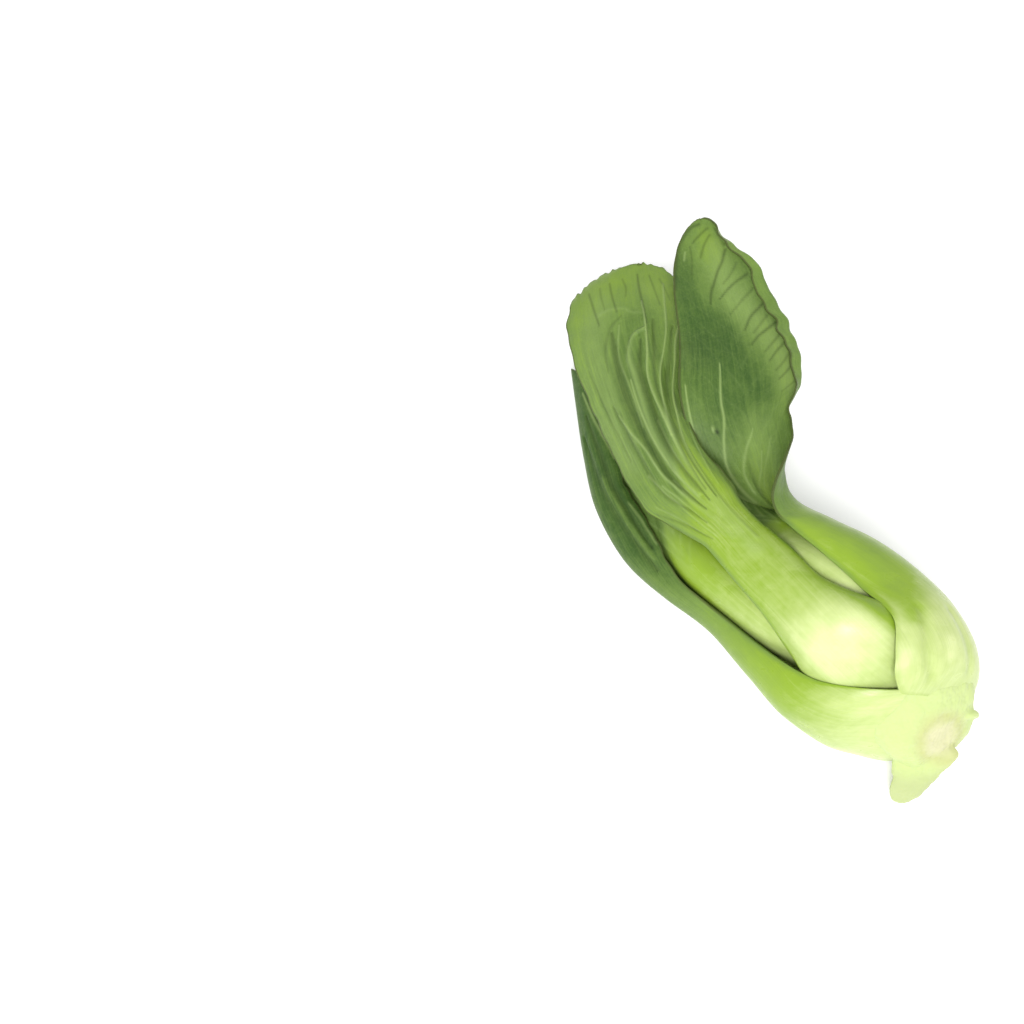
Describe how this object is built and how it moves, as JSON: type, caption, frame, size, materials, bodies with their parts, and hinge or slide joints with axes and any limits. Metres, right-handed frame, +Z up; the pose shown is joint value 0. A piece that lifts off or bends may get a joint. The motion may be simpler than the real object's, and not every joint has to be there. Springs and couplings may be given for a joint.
{
  "type": "bok choy",
  "caption": "Head of baby bok choy lying on its side: swollen pale stalks wrapped round a cut stem, fanning into rounded green leaf blades, one of them twisted outwards.",
  "frame": {"origin": "On the surface it lies on, under the middle of the bounding box", "axes": "+Y along the head from the cut stem to the leaf tips, +Z up, +X to the right seen from above with the tips pointing away"},
  "size_m": [0.0778, 0.186, 0.052],
  "materials": {
    "cut_stem": "moist cut flesh",
    "top_leaf": "waxy leaf, satin stalk",
    "right_leaf": "waxy leaf, satin stalk",
    "left_leaf": "waxy leaf, satin stalk",
    "under_leaf": "waxy leaf, satin stalk",
    "inner_left_leaf": "waxy leaf, satin stalk",
    "inner_right_leaf": "waxy leaf, satin stalk"
  },
  "bodies": {
    "root": {"stem_base": "cut_stem", "leaf_top": "top_leaf", "leaf_right": "right_leaf", "leaf_left": "left_leaf", "leaf_under": "under_leaf", "leaf_inner_left": "inner_left_leaf", "leaf_inner_right": "inner_right_leaf"}
  },
  "joints": []
}
